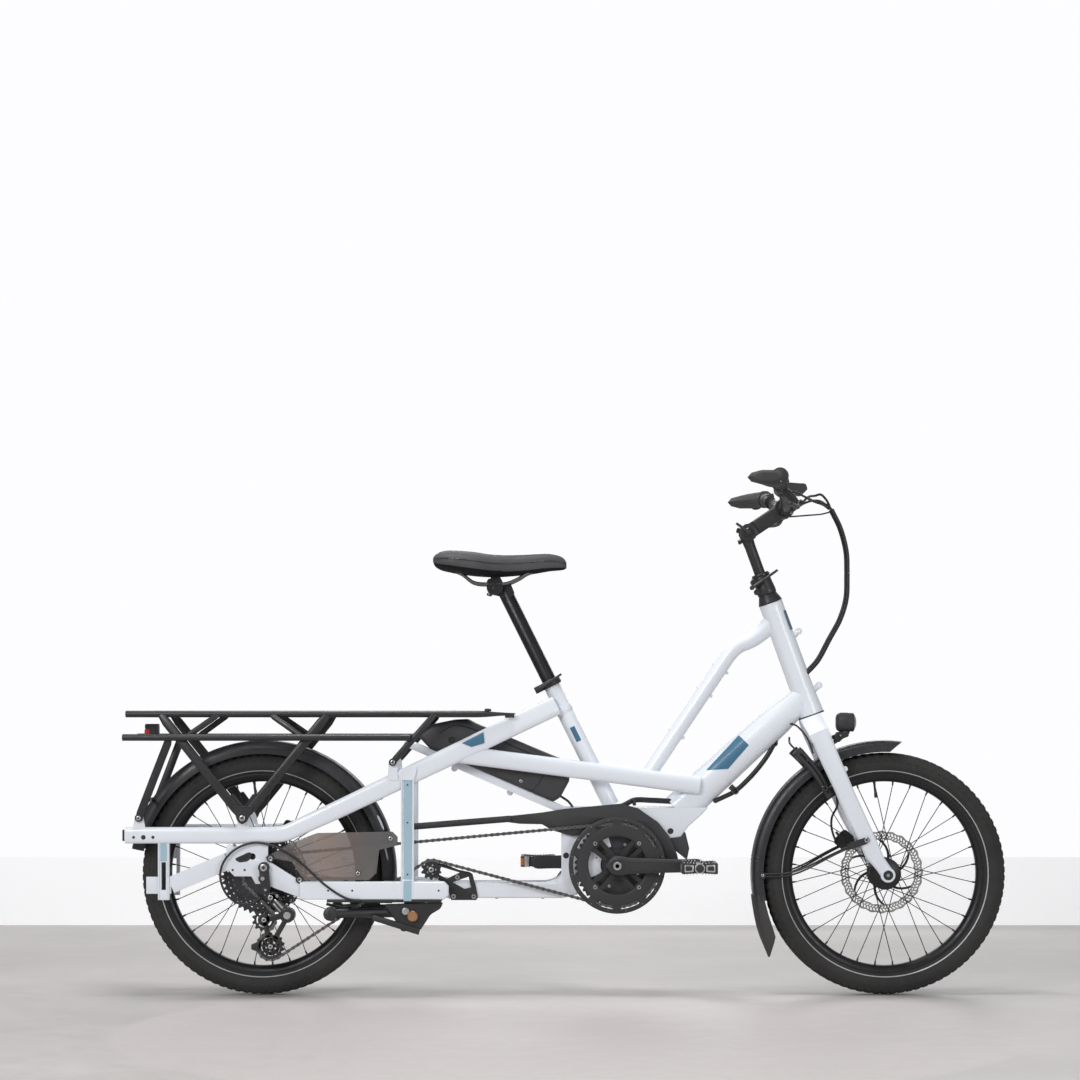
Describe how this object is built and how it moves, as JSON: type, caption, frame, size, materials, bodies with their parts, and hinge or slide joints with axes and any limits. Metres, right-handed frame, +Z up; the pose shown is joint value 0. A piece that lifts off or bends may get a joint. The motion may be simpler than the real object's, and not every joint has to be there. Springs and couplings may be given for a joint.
{
  "type": "longtail cargo bike",
  "caption": "Longtail cargo bike with a low step-through frame, small wheels, mid drive, battery on a sloping cradle and a long railed rear rack over the rear wheel.",
  "frame": {"origin": "on the ground, under the middle of the bicycle's length and width", "axes": "+X forward towards the front wheel, +Y to the rider's left, +Z up"},
  "size_m": [1.882, 0.658, 1.0994],
  "materials": {
    "paint": "gloss, very light cool grey",
    "black_metal": "satin black",
    "anodised": "black anodised",
    "chain_steel": "oiled steel",
    "black_plastic": "fine-grained black",
    "tread": "matt rubber with a block tread",
    "rubber": "matt",
    "casing": "fine-grained charcoal",
    "smoked": "clear smoked brown",
    "cushion": "soft synthetic cover",
    "red_lens": "clear red lens on a black body"
  },
  "bodies": {
    "frame": {"head_tube": "paint", "down_tube": "paint", "step_tube": "paint", "seat_tube": "paint", "right_main_stay": "paint", "left_main_stay": "paint", "right_rear_triangle": "paint", "left_rear_triangle": "paint", "motor_cradle": "paint", "drive_motor": "casing", "battery": "casing", "chain": "chain_steel", "idler_bracket": "black_metal", "chain_guard": "black_plastic", "rear_caliper": "anodised", "right_rack_side": "black_metal", "left_rack_side": "black_metal", "rack_deck": "black_metal", "rear_fender": "black_plastic", "rear_light": "red_lens", "side_panel": "smoked", "kickstand_bracket": "black_metal", "seat_clamp": "black_metal", "gear_cable": "rubber", "cable_lower": "rubber"},
    "steering": {"fork": "paint", "front_fender": "black_plastic", "headlight": "black_plastic", "front_caliper": "anodised", "ring_lock": "black_metal", "post_clamp": "black_metal"},
    "front_wheel": {"front_tyre": "tread", "front_rim": "anodised", "front_hub": "anodised"},
    "rear_wheel": {"rear_tyre": "tread", "rear_rim": "anodised", "rear_hub": "anodised"},
    "cog_stack": {"cassette": "anodised"},
    "crank": {"crankset": "anodised"},
    "pedal_right": {"right_pedal": "black_plastic"},
    "pedal_left": {"left_pedal": "black_plastic"},
    "idler": {"idler_sprocket": "black_plastic"},
    "derailleur": {"derailleur_body": "anodised"},
    "cage": {"derailleur_cage": "anodised"},
    "guide_wheel": {"upper_jockey_wheel": "black_plastic"},
    "tension_wheel": {"lower_jockey_wheel": "black_plastic"},
    "stand": {"kickstand": "black_metal"},
    "seat": {"seatpost": "anodised", "saddle": "cushion"},
    "seat_lever": {"seat_clamp_lever": "black_metal"},
    "upright": {"handlepost": "black_metal", "cable_upper": "rubber"},
    "post_handle": {"post_lever": "black_metal"},
    "bars": {"stem": "black_metal", "handlebar": "black_metal", "right_grip": "rubber", "left_grip": "rubber"},
    "stem_handle": {"stem_lever": "black_metal"},
    "brake_right": {"right_brake_lever": "black_metal"},
    "brake_left": {"left_brake_lever": "black_metal"}
  },
  "joints": [
    {"name": "steering", "type": "hinge", "parent": "frame", "child": "steering", "pos_m": [0.52558, 0, 0.5993], "axis": [-0.342, 0, 0.9397], "range_deg": [-45, 45], "deforming": ["cable_lower"]},
    {"name": "front_wheel_spin", "type": "hinge", "parent": "steering", "child": "front_wheel", "pos_m": [0.681, 0, 0.26], "axis": [0, 1, 0], "continuous": true},
    {"name": "rear_wheel_spin", "type": "hinge", "parent": "frame", "child": "rear_wheel", "pos_m": [-0.652, 0, 0.26], "axis": [0, 1, 0], "continuous": true},
    {"name": "crank_spin", "type": "hinge", "parent": "frame", "child": "crank", "pos_m": [0.1065, 0, 0.28], "axis": [0, 1, 0], "continuous": true},
    {"name": "cassette_spin", "type": "hinge", "parent": "frame", "child": "cog_stack", "pos_m": [-0.652, 0, 0.26], "axis": [0, 1, 0], "continuous": true},
    {"name": "right_pedal_spin", "type": "hinge", "parent": "crank", "child": "pedal_right", "pos_m": [0.2765, -0.13, 0.28], "axis": [0, 1, 0], "continuous": true},
    {"name": "left_pedal_spin", "type": "hinge", "parent": "crank", "child": "pedal_left", "pos_m": [-0.0635, 0.13, 0.28], "axis": [0, 1, 0], "continuous": true},
    {"name": "idler_spin", "type": "hinge", "parent": "frame", "child": "idler", "pos_m": [-0.289, -0.052, 0.271], "axis": [0, 1, 0], "continuous": true},
    {"name": "gear_shift", "type": "slide", "parent": "frame", "child": "derailleur", "axis": [0, 0.8, -0.6], "range_m": [0, 0.012], "stiffness_N_per_m": 1500, "springref_m": -0.004, "deforming": ["chain"]},
    {"name": "cage_swing", "type": "hinge", "parent": "derailleur", "child": "cage", "pos_m": [-0.592, -0.06, 0.176], "axis": [0, 1, 0], "range_deg": [-30, 10], "stiffness_Nm_per_rad": 1.2, "deforming": ["chain"]},
    {"name": "guide_wheel_spin", "type": "hinge", "parent": "cage", "child": "guide_wheel", "pos_m": [-0.645, -0.052, 0.164], "axis": [0, 1, 0], "continuous": true},
    {"name": "tension_wheel_spin", "type": "hinge", "parent": "cage", "child": "tension_wheel", "pos_m": [-0.631, -0.052, 0.107], "axis": [0, 1, 0], "continuous": true},
    {"name": "kickstand_fold", "type": "hinge", "parent": "frame", "child": "stand", "pos_m": [-0.328, 0, 0.173], "axis": [0, -1, 0], "range_deg": [0, 95]},
    {"name": "seat_height", "type": "slide", "parent": "frame", "child": "seat", "axis": [-0.4451, 0, 0.8955], "range_m": [-0.12, 0.06]},
    {"name": "seat_clamp_lever_turn", "type": "hinge", "parent": "frame", "child": "seat_lever", "pos_m": [-0.06167, -0.025, 0.65493], "axis": [0, -1, 0], "range_deg": [0, 100]},
    {"name": "bar_height", "type": "slide", "parent": "steering", "child": "upright", "axis": [-0.342, 0, 0.9397], "range_m": [-0.05, 0.03], "deforming": ["cable_upper"]},
    {"name": "post_lever_turn", "type": "hinge", "parent": "steering", "child": "post_handle", "pos_m": [0.39679, -0.02, 0.87275], "axis": [0, -1, 0], "range_deg": [0, 100]},
    {"name": "stem_tilt", "type": "hinge", "parent": "upright", "child": "bars", "pos_m": [0.3889, 0, 0.99119], "axis": [0, 1, 0], "range_deg": [-30, 15], "deforming": ["cable_upper"]},
    {"name": "stem_lever_turn", "type": "hinge", "parent": "bars", "child": "stem_handle", "pos_m": [0.3889, -0.025, 0.99119], "axis": [0, -1, 0], "range_deg": [0, 60]},
    {"name": "right_brake_pull", "type": "hinge", "parent": "bars", "child": "brake_right", "pos_m": [0.47803, -0.2033, 1.036], "axis": [-0.7698, 0, -0.6383], "range_deg": [0, 14], "stiffness_Nm_per_rad": 2, "springref_deg": -14.32},
    {"name": "left_brake_pull", "type": "hinge", "parent": "bars", "child": "brake_left", "pos_m": [0.47803, 0.2033, 1.036], "axis": [0.7698, 0, 0.6383], "range_deg": [0, 14], "stiffness_Nm_per_rad": 2, "springref_deg": -14.32}
  ],
  "couplings": [
    {"joint": "cassette_spin", "follows": "crank_spin", "ratio": 2.3158},
    {"joint": "idler_spin", "follows": "crank_spin", "ratio": -4.4},
    {"joint": "guide_wheel_spin", "follows": "crank_spin", "ratio": -3.6667},
    {"joint": "tension_wheel_spin", "follows": "crank_spin", "ratio": 3.1429}
  ]
}
